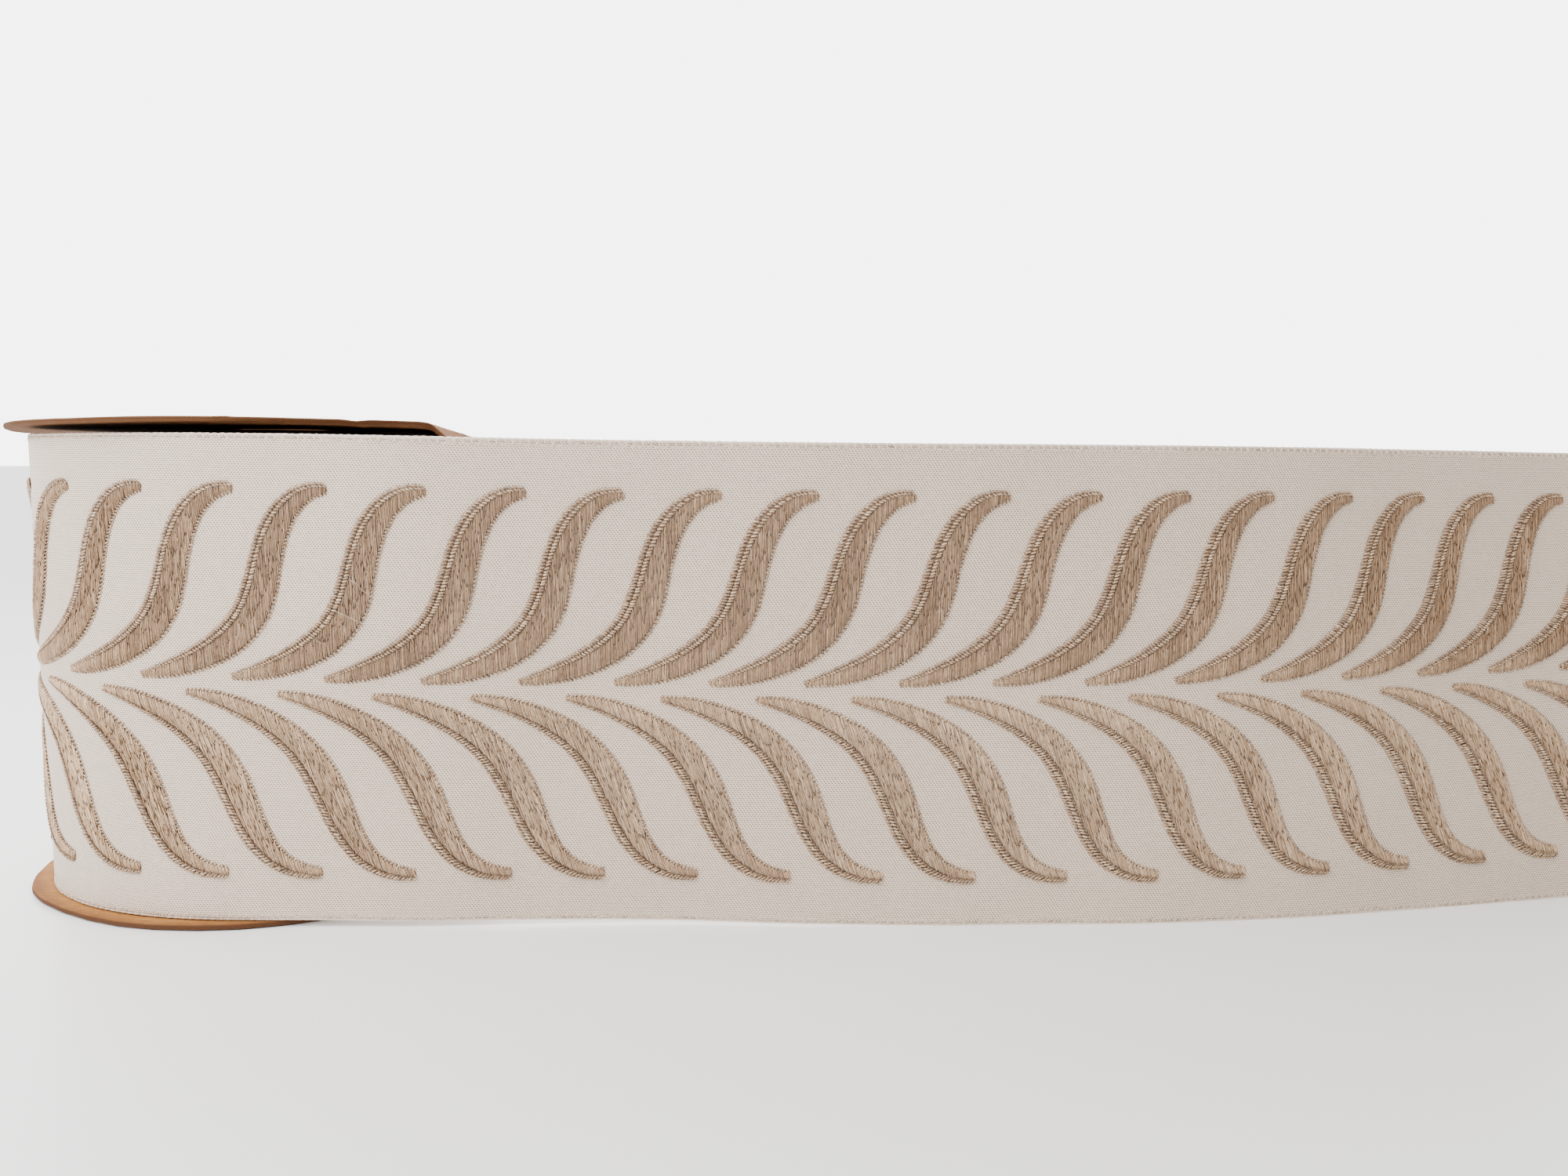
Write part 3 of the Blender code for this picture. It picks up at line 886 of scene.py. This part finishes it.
def turned_card(name, profile, shape=None, bumps=np.zeros_like):
    """Closed ring turned from a profile of radius and height, worn at its rim, then bent by shape.

    bumps gives how far the rim stands out at each angle.
    """
    profile = np.array(profile)
    grid = (CARD_SEGMENTS, len(profile))
    angle = np.broadcast_to(2 * math.pi * np.arange(CARD_SEGMENTS)[:, None] / CARD_SEGMENTS, grid)
    r = np.broadcast_to(profile[None, :, 0], grid)
    z = np.broadcast_to(profile[None, :, 1], grid)
    worn = 0.10 * np.sin(5 * angle + 1.0) + 0.06 * np.sin(13 * angle) + 0.05 * np.sin(41 * angle + 2.0)
    outer = np.clip((r - 30) / (FLANGE_RADIUS - 31), 0, 1)
    r = r + outer * (worn - 0.12 + bumps(angle))
    x, y = r * np.cos(angle), r * np.sin(angle)
    if shape is not None:
        x, y, z = shape(x, y, z)
    places = np.stack([x + AXIS[0], y + AXIS[1], z], -1).reshape(-1, 3) * MM
    faces = [grid_faces(*grid, wrap_columns=True, wrap_rows=True)]
    piece = mesh_piece(name, places, faces, CARD)
    piece.data.set_sharp_from_angle(angle=math.radians(40))
    return piece


def lower_wear(angle):
    """How far the lower disc's rim stands out: flattened at the left, bulged beside that."""
    turn = (angle - math.radians(194) + math.pi) % (2 * math.pi) - math.pi
    beside = angle - math.radians(219)
    flattened = -2.4 * np.exp(-(turn / math.radians(15)) ** 2)
    bulged = 0.9 * np.exp(-(beside / math.radians(11)) ** 2)
    return flattened + bulged


def lower_card():
    """Lower disc and hub in one piece."""
    inner = [(HOLE_RADIUS, height) for height in (HUB_TOP, 70.0, 35.0, 0.0)]
    under = [(r, 0.0) for r in (20.0, 32.0, 44.0, 52.0)]
    over = [(r, FLANGE_THICKNESS) for r in (52.0, 44.0, 32.0, 19.0)]
    hub = [(HUB_RADIUS, FLANGE_THICKNESS + 0.3), (HUB_RADIUS, 50.0), (HUB_RADIUS, HUB_TOP - 0.3),
           (HUB_RADIUS - 0.3, HUB_TOP)]
    profile = inner + under + card_rim(FLANGE_RADIUS, 0.0, FLANGE_THICKNESS) + over + hub
    return turned_card("card_lower", profile, bumps=lower_wear)


def bend_upper(x, y, z):
    """Sag on the left, fall at the back, fold and crease on the right, nick in the front rim."""
    low = UPPER_UNDER
    out = np.maximum(-x - SAG_DISTANCE, 0) / (FLANGE_RADIUS - SAG_DISTANCE)
    z = z - LEFT_SAG * out ** 2
    rim = np.clip((np.hypot(x, y) - 40) / (FLANGE_RADIUS - 40), 0, 1)
    round_axis = np.arctan2(y, x)
    z = z + rim ** 2 * (0.12 * np.sin(3 * round_axis + 0.5) + 0.08 * np.sin(7 * round_axis))
    backward = np.clip((y - SAG_DISTANCE) / (FLANGE_RADIUS - SAG_DISTANCE), 0, 1)
    forward = np.clip((-y - SAG_DISTANCE) / (FLANGE_RADIUS - SAG_DISTANCE), 0, 1)
    z = z - droop(x, y) - BACK_SAG * backward
    z = z + FRONT_LIFT * forward * np.clip((x + 20) / 40, 0, 1)
    crease = np.exp(-((x - 33.0 + 0.25 * (y + 40)) / 1.6) ** 2) * np.clip((-y - 20) / 20, 0, 1)
    z = z - 0.30 * crease
    nick = np.exp(-(((x - 12.0) / 1.0) ** 2)) * np.clip((-y - FLANGE_RADIUS + 3.5) / 3.0, 0, 1)
    y = y + 0.55 * nick
    z = z + 0.18 * nick
    past = np.clip((x - FOLD_DISTANCE) / FOLD_WIDTH, 0, 1)
    beyond = np.maximum(x - FOLD_DISTANCE, 0)
    angle = FOLD_ANGLE * past
    height = z - low
    drop = beyond * np.sin(angle)
    run = beyond * np.cos(angle)
    x = np.where(beyond > 0, FOLD_DISTANCE + run + height * np.sin(angle), x)
    z = np.where(beyond > 0, low - drop + height * np.cos(angle), z)
    return x, y, z


def upper_card():
    """Upper disc, with enough rings for its bends."""
    low, high = UPPER_UNDER, UPPER_UNDER + UPPER_THICKNESS
    radii = list(np.arange(HOLE_RADIUS + 2, FLANGE_RADIUS - 1, 1.5))
    profile = [(HOLE_RADIUS, high - 0.15), (HOLE_RADIUS, low + 0.15)]
    profile += [(r, low) for r in radii]
    profile += card_rim(FLANGE_RADIUS, low, high, 0.4)
    profile += [(r, high) for r in reversed(radii)]
    return turned_card("card_upper", profile, shape=bend_upper)


satin = ground_sheet()
turns = wound_turns()
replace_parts(satin, "tape")
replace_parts(turns, "tape")
trimmings = leaf_rows()
for make, name in ((edge_cord, "selvedge"), (edge_band, "selvedge_band")):
    trimmings.append(make(f"{name}_lower", 0.0, 1.0))
    trimmings.append(make(f"{name}_upper", TAPE_WIDTH, -1.0))
trimmings += [reverse_motif(), loose_fibres()]
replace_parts(lower_card(), "flange_bottom")
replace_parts(upper_card(), "flange_top")


# Floor, light and camera
def floor():
    """Pale floor that the part stands on."""
    bpy.ops.mesh.primitive_plane_add(size=24.0, location=(0, 0, -0.0002))
    plane = bpy.context.object
    plane.name = "floor"
    n = Nodes("pale_floor")
    tint = n.noise(3.0, n.add("ShaderNodeTexCoord").outputs["Object"])
    color = n.mix(tint, (0.93, 0.93, 0.93, 1), (0.95, 0.95, 0.95, 1))
    plane.data.materials.append(n.use(Base_Color=color, Roughness=0.4, Specular_IOR_Level=0.6))


def area_light(name, place, target, size, power, color):
    """Round light at a place, turned to a target."""
    data = bpy.data.lights.new(name, "AREA")
    data.shape = "DISK"
    data.size = size
    data.energy = power
    data.color = color
    lamp = bpy.data.objects.new(name, data)
    lamp.location = place
    lamp.rotation_euler = (Vector(target) - Vector(place)).to_track_quat("-Z", "Y").to_euler()
    bpy.context.scene.collection.objects.link(lamp)


def light():
    """Room of even light with a bright backdrop, and two soft lights from the left."""
    world = bpy.context.scene.world or bpy.data.worlds.new("studio")
    bpy.context.scene.world = world
    world.use_nodes = True
    background = world.node_tree.nodes["Background"]
    background.inputs["Color"].default_value = (1.0, 1.0, 1.0, 1.0)
    tree = world.node_tree
    place = tree.nodes.new("ShaderNodeTexCoord").outputs["Generated"]
    axes = tree.nodes.new("ShaderNodeSeparateXYZ")
    tree.links.new(place, axes.inputs[0])

    def eased_range(value, low, high, at_low, at_high):
        node = tree.nodes.new("ShaderNodeMapRange")
        node.interpolation_type = "SMOOTHSTEP"
        tree.links.new(value, node.inputs["Value"])
        limits = {"From Min": low, "From Max": high, "To Min": at_low, "To Max": at_high}
        for key, limit in limits.items():
            node.inputs[key].default_value = limit
        return node.outputs[0]

    behind = eased_range(axes.outputs["Y"], -0.1, 0.6, 0.0, 1.0)
    below_top = eased_range(axes.outputs["Z"], 0.45, 0.85, BACKDROP, 0.0)
    strength = tree.nodes.new("ShaderNodeMath")
    strength.operation = "MULTIPLY_ADD"
    tree.links.new(behind, strength.inputs[0])
    tree.links.new(below_top, strength.inputs[1])
    strength.inputs[2].default_value = SURROUND
    tree.links.new(strength.outputs[0], background.inputs["Strength"])
    for lamp in LAMPS:
        area_light(*lamp)


def camera():
    """The photograph's camera."""
    data = bpy.data.cameras.new("photo_view")
    data.sensor_width = SENSOR_WIDTH
    data.lens = SENSOR_WIDTH * FOCAL_SHARE
    data.clip_start = 0.01
    view = bpy.data.objects.new("photo_view", data)
    turn = (Matrix.Rotation(math.pi / 2 - CAMERA_PITCH, 3, "X") @ Matrix.Rotation(CAMERA_ROLL, 3, "Z"))
    view.matrix_world = Matrix.Translation([c * MM for c in CAMERA_PLACE]) @ turn.to_4x4()
    bpy.context.scene.collection.objects.link(view)
    bpy.context.scene.camera = view


floor()
light()
camera()
